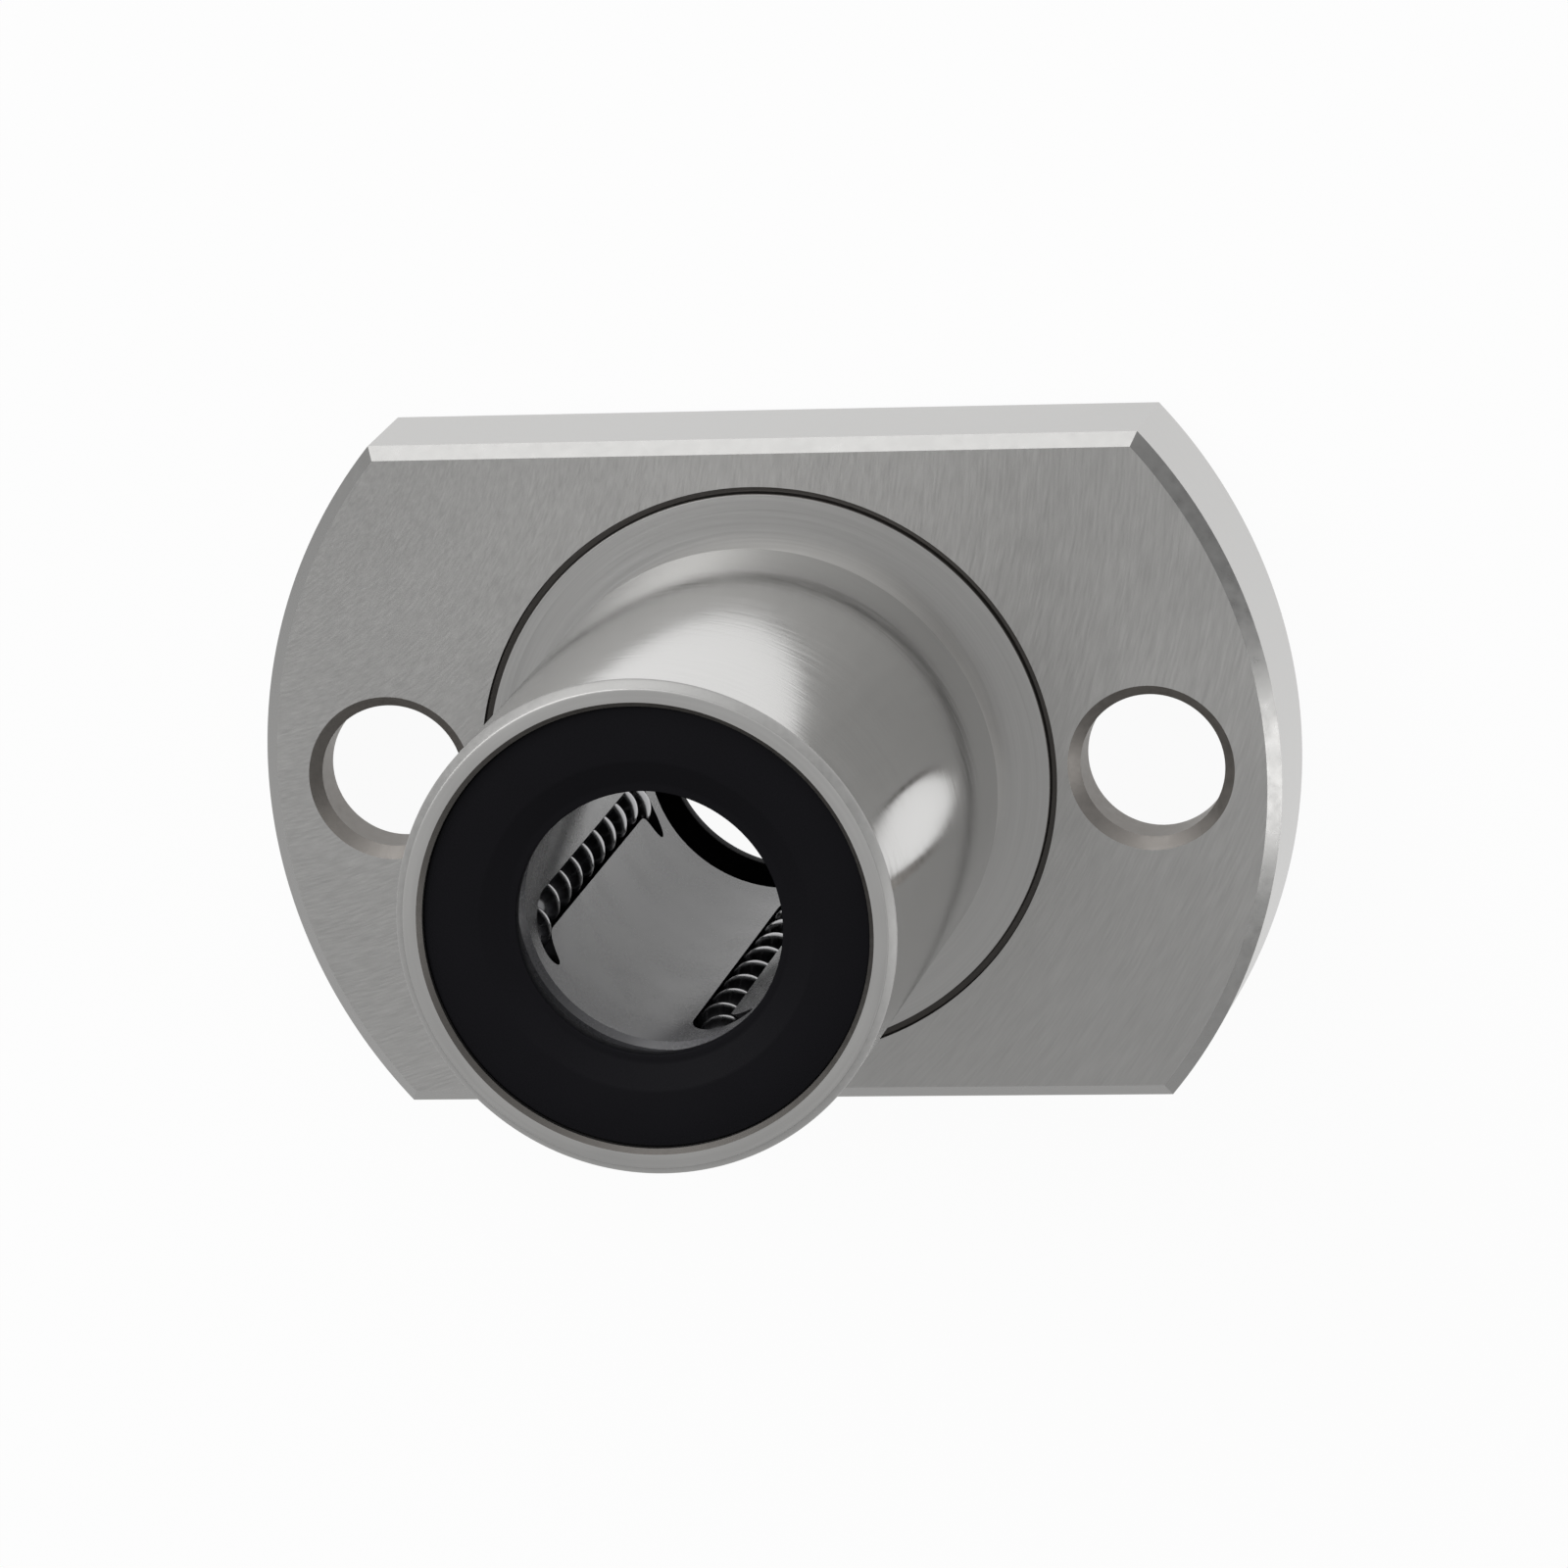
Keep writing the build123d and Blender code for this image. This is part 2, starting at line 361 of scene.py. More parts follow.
class Shader:
    """Builds the nodes of one material or of the world."""

    def __init__(self, owner):
        owner.use_nodes = True
        self.owner = owner
        self.tree = owner.node_tree
        self.tree.nodes.clear()

    def node(self, kind, settings=None, inputs=None, output=0):
        """Adds a node, sets it up, feeds its inputs and gives one of its outputs."""
        made = self.tree.nodes.new(kind)
        for name, value in (settings or {}).items():
            setattr(made, name, value)
        for key, value in (inputs or {}).items():
            self.feed(made.inputs[key], value)
        return Signal(self, made.outputs[output]) if made.outputs else made

    def feed(self, socket, value):
        if isinstance(value, Signal):
            self.tree.links.new(value.socket, socket)
        else:
            socket.default_value = value

    def join(self, x, y, z):
        return self.node("ShaderNodeCombineXYZ", inputs={0: x, 1: y, 2: z})

    def split(self, vector):
        made = self.tree.nodes.new("ShaderNodeSeparateXYZ")
        self.feed(made.inputs[0], vector)
        return [Signal(self, socket) for socket in made.outputs]

    def place(self):
        """Object coordinates in millimetres."""
        metres = self.node("ShaderNodeTexCoord", output="Object")
        settings = {"operation": "SCALE"}
        return self.node("ShaderNodeVectorMath", settings, {0: metres, "Scale": 1 / MM})

    def noise(self, vector, scale=1.0, detail=2.0, roughness=0.5):
        inputs = {"Vector": vector, "Scale": scale, "Detail": detail, "Roughness": roughness}
        return self.node("ShaderNodeTexNoise", inputs=inputs)

    def spread(self, value, low, high, to_low=0.0, to_high=1.0):
        """Maps a value from one range to another and holds it there."""
        inputs = {0: value, 1: low, 2: high, 3: to_low, 4: to_high}
        return self.node("ShaderNodeMapRange", {"clamp": True}, inputs)

    def tones(self, share, base, dark, light):
        """A colour between a dark and a light tone, which are shares of a base colour."""
        settings = {"data_type": "RGBA"}
        inputs = {0: share, 6: (*shade(base, dark), 1.0), 7: (*shade(base, light), 1.0)}
        return self.node("ShaderNodeMix", settings, inputs, output=2)

    def bump(self, height, depth):
        """A normal from a relief between 0 and 1."""
        inputs = {"Height": height, "Distance": depth * MM, "Strength": 1.0}
        return self.node("ShaderNodeBump", inputs=inputs)

    def finish(self, inputs):
        """Ends a material with one Principled surface."""
        surface = self.node("ShaderNodeBsdfPrincipled", inputs=inputs)
        self.node("ShaderNodeOutputMaterial", inputs={"Surface": surface})
        return self.owner

    def finish_steel(self, colour, roughness, relief, depth):
        """Ends a steel, with a relief between 0 and 1 that stands for a depth in millimetres."""
        return self.finish(
            {
                "Base Color": colour,
                "Metallic": 1.0,
                "Roughness": roughness,
                "Normal": self.bump(relief, depth),
            }
        )


def shade(base, share):
    """A colour made lighter or darker by a share."""
    return tuple(min(1.0, part * share) for part in base)


def round_lines(shader, place, per_mm, drift):
    """Fine lines that run round the shaft axis, and drift a little along their way."""
    x, y, z = shader.split(place)
    radius = (x * x + y * y) ** 0.5
    across = (radius + z * HEIGHT_WEIGHT) * per_mm
    return shader.noise(shader.join(across, x / radius * drift, y / radius * drift), detail=3.0)


def ground_face_steel(base):
    """Flat ground steel with fine scratches that curve round the middle of a wheel."""
    shader = Shader(bpy.data.materials.new("ground_face_steel"))
    wheel_x, wheel_y = -18.6, 13.0
    place = shader.place()
    x, y, z = shader.split(place)
    from_x = x - wheel_x
    from_y = y - wheel_y
    radius = (from_x * from_x + from_y * from_y) ** 0.5
    turn = from_y.maths("ARCTAN2", from_y, from_x)

    def arcs(per_mm, per_radian, detail):
        """Lines that run round the wheel's middle."""
        way = shader.join(radius * per_mm, turn * per_radian, z * per_mm)
        return shader.noise(way, detail=detail)

    fine = arcs(per_mm=13.0, per_radian=30.0, detail=3.0)
    broad = arcs(per_mm=3.6, per_radian=11.0, detail=2.0)
    cloud = shader.noise(place, scale=0.16, detail=2.0)
    scratch = shader.spread(fine, 0.3, 0.7)
    streak = shader.spread(broad, 0.25, 0.75)
    grain = scratch * 0.4 + streak * 0.2 + cloud * 0.4
    return shader.finish_steel(
        colour=shader.tones(grain, base, 0.8, 1.06),
        roughness=shader.spread(grain, 0.2, 0.8, 0.42, 0.54),
        relief=scratch * 0.75 + streak * 0.25,
        depth=0.0034,
    )


def ground_tube_steel(base):
    """Cylindrically ground steel, with lines round the tube."""
    shader = Shader(bpy.data.materials.new("ground_tube_steel"))
    place = shader.place()
    fine = shader.spread(round_lines(shader, place, per_mm=7.0, drift=3.0), 0.3, 0.7)
    broad = round_lines(shader, place, per_mm=1.3, drift=1.2)
    grain = fine * 0.6 + broad * 0.4
    return shader.finish_steel(
        colour=shader.tones(grain, base, 1.0, 1.12),
        roughness=shader.spread(grain, 0.2, 0.8, 0.1, 0.17),
        relief=fine,
        depth=0.0012,
    )


def turned_steel(base):
    """Turned steel of the neck, the ring round its foot and the flange's round sides."""
    shader = Shader(bpy.data.materials.new("turned_steel"))
    place = shader.place()
    fine = shader.spread(round_lines(shader, place, per_mm=16.0, drift=1.5), 0.3, 0.7)
    broad = round_lines(shader, place, per_mm=3.4, drift=0.8)
    grain = fine * 0.5 + broad * 0.5
    return shader.finish_steel(
        colour=shader.tones(grain, base, 0.82, 0.98),
        roughness=shader.spread(grain, 0.2, 0.8, 0.28, 0.38),
        relief=fine,
        depth=0.0008,
    )


def marked_steel(name, base, marks, tones, roughness, depth):
    """Steel with small marks, given by a noise's scale, detail and roughness."""
    shader = Shader(bpy.data.materials.new(name))
    grain = shader.noise(shader.place(), *marks)
    return shader.finish_steel(
        colour=shader.tones(grain, base, *tones),
        roughness=shader.spread(grain, 0.3, 0.7, *roughness),
        relief=grain,
        depth=depth,
    )


def chamfer_steel(base):
    """Darker machined steel of the flange's chamfers."""
    marks, tones = (2.2, 4.0, 0.6), (0.44, 0.56)
    return marked_steel("chamfer_steel", base, marks, tones, (0.26, 0.36), depth=0.0015)


def machined_steel(name, base, *roughness):
    """Dull machined steel of the nose's edges and the screw holes; darkened further, it is the
    painted shade of the ring groove.
    """
    return marked_steel(name, base, (4.0, 4.0, 0.6), (0.8, 1.2), roughness, depth=0.003)


def nose_ring_steel(base):
    """Pale satin steel of the tube's end face."""
    shader = Shader(bpy.data.materials.new("nose_ring_steel"))
    place = shader.place()
    fine = shader.spread(round_lines(shader, place, per_mm=9.0, drift=1.5), 0.3, 0.7)
    cloud = shader.noise(place, scale=0.35, detail=2.0)
    grain = fine * 0.4 + cloud * 0.6
    return shader.finish_steel(
        colour=shader.tones(grain, base, 0.9, 1.02),
        roughness=shader.spread(grain, 0.2, 0.8, 0.42, 0.55),
        relief=fine,
        depth=0.0008,
    )


def bore_steel(base):
    """Darker honed steel inside the outer cylinder."""
    shader = Shader(bpy.data.materials.new("bore_steel"))
    place = shader.place()
    fine = shader.spread(round_lines(shader, place, per_mm=5.0, drift=2.0), 0.3, 0.7)
    return shader.finish_steel(
        colour=shader.tones(fine, base, 0.7, 0.8),
        roughness=shader.spread(fine, 0.0, 1.0, 0.28, 0.36),
        relief=fine,
        depth=0.0015,
    )


def seal_rubber(base):
    """Matt black moulded rubber."""
    shader = Shader(bpy.data.materials.new("seal_rubber"))
    place = shader.place()
    grain = shader.noise(place, scale=14.0, detail=4.0, roughness=0.6)
    cloud = shader.noise(place, scale=0.6, detail=2.0)
    mixed = grain * 0.6 + cloud * 0.4
    return shader.finish(
        {
            "Base Color": shader.tones(mixed, base, 0.7, 1.35),
            "Roughness": shader.spread(mixed, 0.25, 0.75, 0.55, 0.7),
            "Specular IOR Level": 0.1,
            "Normal": shader.bump(grain, 0.006),
        }
    )


def cage_resin(base):
    """Grey engineering resin with a soft gloss."""
    shader = Shader(bpy.data.materials.new("cage_resin"))
    place = shader.place()
    grain = shader.noise(place, scale=9.0, detail=4.0, roughness=0.6)
    cloud = shader.noise(place, scale=0.45, detail=2.0)
    mixed = grain * 0.4 + cloud * 0.6
    return shader.finish(
        {
            "Base Color": shader.tones(mixed, base, 0.75, 1.25),
            "Roughness": shader.spread(mixed, 0.25, 0.75, 0.2, 0.32),
            "Specular IOR Level": 0.75,
            "Normal": shader.bump(grain, 0.0025),
        }
    )


def polished_steel(name, base, *roughness):
    """Bright steel with faint marks, for balls and spring rings."""
    return marked_steel(name, base, (3.2, 5.0, 0.65), (0.88, 1.08), roughness, depth=0.001)


def only(kind, items):
    """The items that are of one kind, such as the vertices of an operator's result."""
    return [item for item in items if isinstance(item, kind)]


def linked_edges(verts):
    """The edges at some vertices, each once, in the order of the vertices."""
    return list(dict.fromkeys(edge for vert in verts for edge in vert.link_edges))


def draw_outline(bm, points, closed=False, rounding=0.0, centre_x=0.0):
    """Draws an outline of (radius, height) beside an upright axis and rounds its corners."""
    verts = [bm.verts.new((centre_x + radius, 0.0, height)) for radius, height in points]
    edges = [bm.edges.new(pair) for pair in zip(verts, verts[1:])]
    if closed:
        edges.append(bm.edges.new((verts[-1], verts[0])))
    if not rounding:
        return verts + edges
    before = set(bm.verts) - set(verts)
    corners = verts if closed else verts[1:-1]
    bmesh.ops.bevel(
        bm,
        geom=corners,
        offset=rounding,
        offset_type="OFFSET",
        segments=ROUNDING_STEPS,
        profile=0.5,
        affect="VERTICES",
        clamp_overlap=True,
        material=-1,
    )
    drawn = [vert for vert in bm.verts if vert not in before]
    return drawn + linked_edges(drawn)


def spin_full(bm, outline, steps, centre_x=0.0):
    """Turns an outline through a full turn about an upright axis."""
    bmesh.ops.spin(
        bm,
        geom=outline,
        cent=(centre_x, 0.0, 0.0),
        axis=UPRIGHT,
        angle=FULL_TURN,
        steps=steps,
        use_merge=True,
    )


def turn_about_shaft(bm, verts, angle):
    """Turns vertices about the shaft axis."""
    matrix = Matrix.Rotation(angle, 3, "Z")
    bmesh.ops.rotate(bm, cent=ORIGIN, matrix=matrix, verts=verts)


def spin_part(bm, outline, start, angle, steps):
    """Turns an outline about the shaft axis from a start through an angle."""
    turn_about_shaft(bm, only(bmesh.types.BMVert, outline), start)
    bmesh.ops.spin(
        bm,
        geom=outline,
        cent=ORIGIN,
        axis=UPRIGHT,
        angle=angle,
        steps=steps,
        use_merge=False,
    )


def close_ends(bm):
    """Fills the open ends of what a part turn left."""
    open_edges = [edge for edge in bm.edges if edge.is_boundary]
    bmesh.ops.holes_fill(bm, edges=open_edges, sides=0)


def tidy_shell(bm):
    """Merges doubles and turns every face outwards."""
    bmesh.ops.remove_doubles(bm, verts=bm.verts, dist=MERGE_DISTANCE)
    bmesh.ops.recalc_face_normals(bm, faces=bm.faces)


def loose_object(bm, name):
    """A scratch object in millimetres for a boolean cut."""
    tidy_shell(bm)
    mesh = bpy.data.meshes.new(name)
    bm.to_mesh(mesh)
    made = bpy.data.objects.new(name, mesh)
    bpy.context.scene.collection.objects.link(made)
    return made


def cut_away(bm, cutter):
    """Takes the closed shape of one bmesh out of another and gives the result."""
    body = loose_object(bm, "cut_body")
    tool = loose_object(cutter, "cut_tool")
    bm.free()
    cutter.free()
    modifier = body.modifiers.new("cut", "BOOLEAN")
    modifier.operation = "DIFFERENCE"
    modifier.solver = "EXACT"
    modifier.object = tool
    graph = bpy.context.evaluated_depsgraph_get()
    evaluated = body.evaluated_get(graph)
    result = bmesh.new()
    result.from_mesh(evaluated.to_mesh())
    evaluated.to_mesh_clear()
    for made in (body, tool):
        mesh = made.data
        bpy.data.objects.remove(made)
        bpy.data.meshes.remove(mesh)
    return result


def add_piece(name, bm, materials, body, slot, *nodes):
    """Makes a finished piece in metres, smooth with sharp corners, and sets its body."""
    tidy_shell(bm)
    bmesh.ops.scale(bm, vec=(MM, MM, MM), verts=bm.verts)
    mesh = bpy.data.meshes.new(name)
    bm.to_mesh(mesh)
    bm.free()
    for material in materials:
        mesh.materials.append(material)
    mesh.shade_smooth()
    mesh.set_sharp_from_angle(angle=SHARP_ANGLE)
    piece = bpy.data.objects.new(name, mesh)
    bpy.context.scene.collection.objects.link(piece)
    normals = piece.modifiers.new("even_normals", "WEIGHTED_NORMAL")
    normals.keep_sharp = True
    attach(piece, body)
    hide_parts(*nodes)


def circuit_angles(balls):
    """Angle of every circuit's load row."""
    step = FULL_TURN / balls.circuits
    return [balls.first_angle + step * index for index in range(balls.circuits)]


def circuit_path(balls):
    """Radius, spacing and half turns of the path that the balls of a circuit follow."""
    spacing = balls.ball_diameter + balls.ball_gap
    turn_radius = spacing / 2 / math.sin(math.pi / balls.balls_per_turn / 2)
    row_length = spacing * balls.balls_per_row
    return SimpleNamespace(
        load_radius=(balls.shaft_diameter + balls.ball_diameter) / 2,
        spacing=spacing,
        turn_radius=turn_radius,
        row_length=row_length,
        nose_tangent=MIDDLE + row_length / 2,
        flange_tangent=MIDDLE - row_length / 2,
    )


def lies_at(verts, level):
    """True if every vertex lies at a height."""
    return all(abs(vert.co.z - level) < LEVEL_TOLERANCE for vert in verts)


def flange_shell(bm, housing):
    """Flange plate without its two faces: round, cut by two flats, with chamfered edges."""
    radius = HOUSING_HIGH.x
    bmesh.ops.create_cone(
        bm,
        cap_ends=True,
        segments=FLANGE_STEPS,
        radius1=radius,
        radius2=radius,
        depth=housing.flange_thickness,
        matrix=Matrix.Translation((0.0, 0.0, housing.flange_thickness / 2)),
    )
    for side, reach in ((-1, -HOUSING_LOW.y), (1, HOUSING_HIGH.y)):
        parted = bmesh.ops.bisect_plane(
            bm,
            geom=bm.verts[:] + bm.edges[:] + bm.faces[:],
            dist=PLANE_DISTANCE,
            plane_co=(0.0, side * reach, 0.0),
            plane_no=(0.0, side, 0.0),
            clear_outer=True,
        )
        rim = only(bmesh.types.BMEdge, parted["geom_cut"])
        bmesh.ops.edgeloop_fill(bm, edges=rim)
    bmesh.ops.remove_doubles(bm, verts=bm.verts, dist=CORNER_DISTANCE)
    levels = (0.0, housing.flange_thickness)
    rims = [edge for edge in bm.edges if any(lies_at(edge.verts, level) for level in levels)]
    bmesh.ops.bevel(
        bm,
        geom=rims,
        offset=housing.flange_edge_chamfer,
        offset_type="OFFSET",
        segments=1,
        profile=0.5,
        affect="EDGES",
        clamp_overlap=False,
        material=-1,
    )
    caps = [face for face in bm.faces if any(lies_at(face.verts, level) for level in levels)]
    bmesh.ops.delete(bm, geom=caps, context="FACES_ONLY")


def outer_outline(housing, bore):
    """From the flange's ring groove over neck, tube and nose to the seal seat's chamfer."""
    neck = housing.neck_diameter / 2
    tube = housing.tube_diameter / 2
    face = housing.flange_thickness
    floor = face - housing.groove_depth
    shoulder = face + housing.neck_length
    groove_outside = (housing.groove_diameter + housing.groove_width) / 2
    groove_inside = (housing.groove_diameter - housing.groove_width) / 2
    return [
        (groove_outside, face),
        (groove_outside, floor),
        (groove_inside, floor),
        (groove_inside, face),
        (neck, face),
        (neck, shoulder),
        (tube, shoulder + housing.shoulder_length),
        (tube, OVERALL_LENGTH - housing.tube_edge_chamfer),
        (tube - housing.tube_edge_chamfer, OVERALL_LENGTH),
        (bore.seat_radius + bore.seat_chamfer, OVERALL_LENGTH),
    ]


def seat_outline(bore):
    """Seal seat, snap groove and ring groove, from an end face inwards, by distance from it."""
    bead_start = bore.bead_middle - bore.bead_half_width
    bead_end = bore.bead_middle + bore.bead_half_width
    return [
        (bore.seat_radius + bore.seat_chamfer, 0.0),
        (bore.seat_radius, bore.seat_chamfer),
        (bore.seat_radius, bead_start - bore.bead_height),
        (bore.seat_radius + bore.bead_height, bead_start),
        (bore.seat_radius + bore.bead_height, bead_end),
        (bore.seat_radius, bead_end + bore.bead_height),
        (bore.seat_radius, bore.seat_depth),
        (bore.relief_radius, bore.seat_depth),
        (bore.relief_radius, bore.groove_start),
        (bore.groove_radius, bore.groove_start),
        (bore.groove_radius, bore.groove_end),
        (bore.relief_radius, bore.groove_end),
    ]


def other_end(points):
    """The same outline measured from the nose."""
    return [(radius, OVERALL_LENGTH - height) for radius, height in points]


def raise_lands(bm, bore, balls):
    """Brings the bore in to the raceway lands over the load rows."""
    path = circuit_path(balls)
    low = path.flange_tangent - LEVEL_TOLERANCE
    high = path.nose_tangent + LEVEL_TOLERANCE
    raised = []
    for vert in bm.verts:
        on_relief = abs(vert.co.xy.length - bore.relief_radius) < LEVEL_TOLERANCE
        angle = math.atan2(vert.co.y, vert.co.x)
        gaps = [math.remainder(angle - centre, FULL_TURN) for centre in circuit_angles(balls)]
        beside_row = min(abs(gap) for gap in gaps) < LAND_HALF_ANGLE
        if on_relief and low < vert.co.z < high and beside_row:
            raised.append(vert)
    share = bore.land_radius / bore.relief_radius
    bmesh.ops.scale(bm, vec=(share, share, 1.0), verts=raised)


def fill_face(bm, level):
    """Fills a flange face between its outer rim and the ring inside it."""
    rims = [edge for edge in bm.edges if edge.is_boundary and lies_at(edge.verts, level)]
    bmesh.ops.triangle_fill(bm, use_beauty=True, edges=rims, normal=UPRIGHT)


def screw_hole(bm, housing, side):
    """Closed shape of a counterbored screw hole with its chamfers."""
    hole = housing.hole_diameter / 2
    head = housing.counterbore_diameter / 2
    over = housing.hole_chamfer
    centre = side * housing.screw_spacing / 2
    points = [
        (0.0, -over),
        (head + housing.counterbore_chamfer + over, -over),
        (head, housing.counterbore_chamfer),
        (head, housing.counterbore_depth),
        (hole, housing.counterbore_depth),
        (hole, housing.flange_thickness - housing.hole_chamfer),
        (hole + housing.hole_chamfer + over, housing.flange_thickness + over),
        (0.0, housing.flange_thickness + over),
    ]
    spin_full(bm, draw_outline(bm, points, centre_x=centre), HOLE_STEPS, centre)


def steel_finish(face, housing, bore):
    """Which of the housing's finishes a face has, by its place."""
    centre = face.calc_center_median()
    radius = centre.xy.length
    upward = abs(face.normal.z)
    if upward > FLAT and abs(centre.z) < LEVEL_TOLERANCE:
        return GROUND_FACE
    from_groove = abs(radius - housing.groove_diameter / 2)
    above_floor = centre.z > housing.flange_thickness - housing.groove_depth - LEVEL_TOLERANCE
    groove_reach = housing.groove_width / 2 + GROOVE_EDGE_SHARE * housing.edge_rounding
    # Faces of the ring groove and the rounding beside it get a darker steel: painted shade in the
    # groove
    if above_floor and from_groove < groove_reach:
        return GROOVE_PAINTED_SHADE
    on_tube_side = abs(centre.z - housing.flange_thickness) < LEVEL_TOLERANCE
    if upward > FLAT and on_tube_side and radius > housing.groove_diameter / 2:
        return GROUND_FACE
    if abs(face.normal.y) > FLAT and abs(centre.y) > HOUSING_HIGH.y - LEVEL_TOLERANCE:
        return GROUND_FACE
    if radius < bore.seat_radius + bore.bead_height + LEVEL_TOLERANCE:
        # The seat's chamfer at the nose mouth gets the same painted shade as the groove
        at_mouth = centre.z > OVERALL_LENGTH - bore.seat_chamfer
        return GROOVE_PAINTED_SHADE if at_mouth else BORE
    if centre.z > OVERALL_LENGTH - housing.tube_edge_chamfer - housing.edge_rounding:
        return NOSE_RING if upward > NEARLY_FLAT else NOSE_EDGE
    if centre.z > housing.flange_thickness + housing.neck_length:
        return GROUND_TUBE
    if radius < housing.groove_diameter / 2 + housing.groove_width:
        return TURNED
    beside_hole = Vector((abs(centre.x) - housing.screw_spacing / 2, centre.y)).length
    hole_reach = housing.counterbore_diameter / 2 + HOLE_RIM_SHARE * housing.counterbore_chamfer
    if beside_hole < hole_reach:
        return HOLE_RIM
    return CHAMFER if upward > SLOPING else TURNED


class BEARING_OT_housing(bpy.types.Operator):
    """Build the outer cylinder with its flange"""

    bl_idname = "bearing.housing"
    bl_label = "Outer cylinder"

    def execute(self, context):
        scene = context.scene
        housing = in_millimetres(scene.bearing_housing)
        bore = in_millimetres(scene.bearing_bore)
        balls = in_millimetres(scene.bearing_balls)
        path = circuit_path(balls)
        bm = bmesh.new()
        flange_shell(bm, housing)
        outside = draw_outline(bm, outer_outline(housing, bore), rounding=housing.edge_rounding)
        spin_full(bm, outside, HOUSING_STEPS)
        seat = seat_outline(bore)
        relief = [
            (bore.relief_radius, path.nose_tangent + bore.land_ramp),
            (bore.relief_radius, path.nose_tangent),
            (bore.relief_radius, path.flange_tangent),
            (bore.relief_radius, path.flange_tangent - bore.land_ramp),
        ]
        inside = draw_outline(bm, other_end(seat) + relief + seat[::-1])
        spin_full(bm, inside, HOUSING_STEPS)
        raise_lands(bm, bore, balls)
        bmesh.ops.remove_doubles(bm, verts=bm.verts, dist=MERGE_DISTANCE)
        for level in (0.0, housing.flange_thickness):
            fill_face(bm, level)
        for side in (-1, 1):
            hole = bmesh.new()
            screw_hole(hole, housing, side)
            bm = cut_away(bm, hole)
        tidy_shell(bm)
        for face in bm.faces:
            face.material_index = steel_finish(face, housing, bore)
        base = housing.steel
        finishes = [
            ground_face_steel(base),
            ground_tube_steel(base),
            turned_steel(base),
            bore_steel(base),
            chamfer_steel(base),
            nose_ring_steel(base),
            machined_steel("nose_edge_steel", shade(base, 0.66), 0.5, 0.6),
            machined_steel("hole_rim_steel", housing.dark_steel, 0.46, 0.58),
            # Painted shade: a much darker steel for the ring groove and the seat's chamfer at the
            # nose
            machined_steel("groove_painted_shade_steel", shade(housing.dark_steel, 0.55), 0.5, 0.6),
        ]
        add_piece(
            "outer_cylinder",
            bm,
            finishes,
            "bearing_housing",
            "ground_steel",
            "flanged_outer_cylinder",
        )
        return {"FINISHED"}


def seal_outline(seal):
    """Section of a seal, by distance from its end face."""
    middle = seal.recess + seal.thickness / 2
    end = seal.recess + seal.thickness
    bead_start = middle - seal.bead_half_width
    bead_end = middle + seal.bead_half_width
    return [
        (seal.dish_radius, seal.recess),
        (seal.radius, seal.recess),
        (seal.radius, bead_start - seal.bead_height),
        (seal.radius + seal.bead_height, bead_start),
        (seal.radius + seal.bead_height, bead_end),
        (seal.radius, bead_end + seal.bead_height),
        (seal.radius, end),
        (seal.dish_radius, end),
        (seal.lip_step_radius, seal.lip_end),
        (seal.lip_radius, seal.lip_end),
        (seal.lip_radius, seal.lip_start),
        (seal.lip_step_radius, seal.lip_start),
    ]


class BEARING_OT_seals(bpy.types.Operator):
    """Build the two rubber end seals"""

    bl_idname = "bearing.seals"
    bl_label = "End seals"

    def execute(self, context):
        seal = in_millimetres(context.scene.bearing_seal)
        rubber = seal_rubber(seal.rubber)
        points = seal_outline(seal)
        ends = {"nose": other_end(points), "flange": points}
        for end, outline in ends.items():
            bm = bmesh.new()
            drawn = draw_outline(bm, outline, closed=True, rounding=seal.rounding)
            spin_full(bm, drawn, SEAL_STEPS)
            add_piece(
                f"{end}_seal",
                bm,
                [rubber],
                "bearing_housing",
                "seal_rubber",
                f"{end}_end_seal",
            )
        return {"FINISHED"}


class BEARING_OT_stop_rings(bpy.types.Operator):
    """Build the two open stop rings behind the seals"""

    bl_idname = "bearing.stop_rings"
    bl_label = "Stop rings"

    def execute(self, context):
        ring = in_millimetres(context.scene.bearing_ring)
        steel = polished_steel("spring_steel", ring.steel, 0.22, 0.34)
        section = [
            (ring.inner_radius, ring.start),
            (ring.outer_radius, ring.start),
            (ring.outer_radius, ring.start + ring.thickness),
            (ring.inner_radius, ring.start + ring.thickness),
        ]
        ends = {"nose": (other_end(section), math.pi), "flange": (section, 0.0)}
        for end, (outline, facing) in ends.items():
            bm = bmesh.new()
            drawn = draw_outline(bm, outline, closed=True, rounding=ring.rounding)
            spin_part(bm, drawn, facing + ring.gap / 2, FULL_TURN - ring.gap, RING_STEPS)
            close_ends(bm)
            add_piece(
                f"{end}_ring",
                bm,
                [steel],
                "bearing_housing",
                "spring_steel",
                f"{end}_stop_ring",
            )
        return {"FINISHED"}


def land_grooves(cage, balls):
    """Closed shapes of the grooves over the raceway lands."""
    bm = bmesh.new()
    half_angle = math.asin(cage.land_groove_half_width / cage.land_groove_radius)
    low = CAGE_LOW.z - CUTTER_MARGIN
    high = CAGE_HIGH.z + CUTTER_MARGIN
    outside = cage.outer_radius + CUTTER_MARGIN
    section = [
        (cage.land_groove_radius, low),
        (outside, low),
        (outside, high),
        (cage.land_groove_radius, high),
    ]
    for angle in circuit_angles(balls):
        drawn = draw_outline(bm, section, closed=True)
        spin_part(bm, drawn, angle - half_angle, 2 * half_angle, LAND_GROOVE_STEPS)
    close_ends(bm)
    return bm


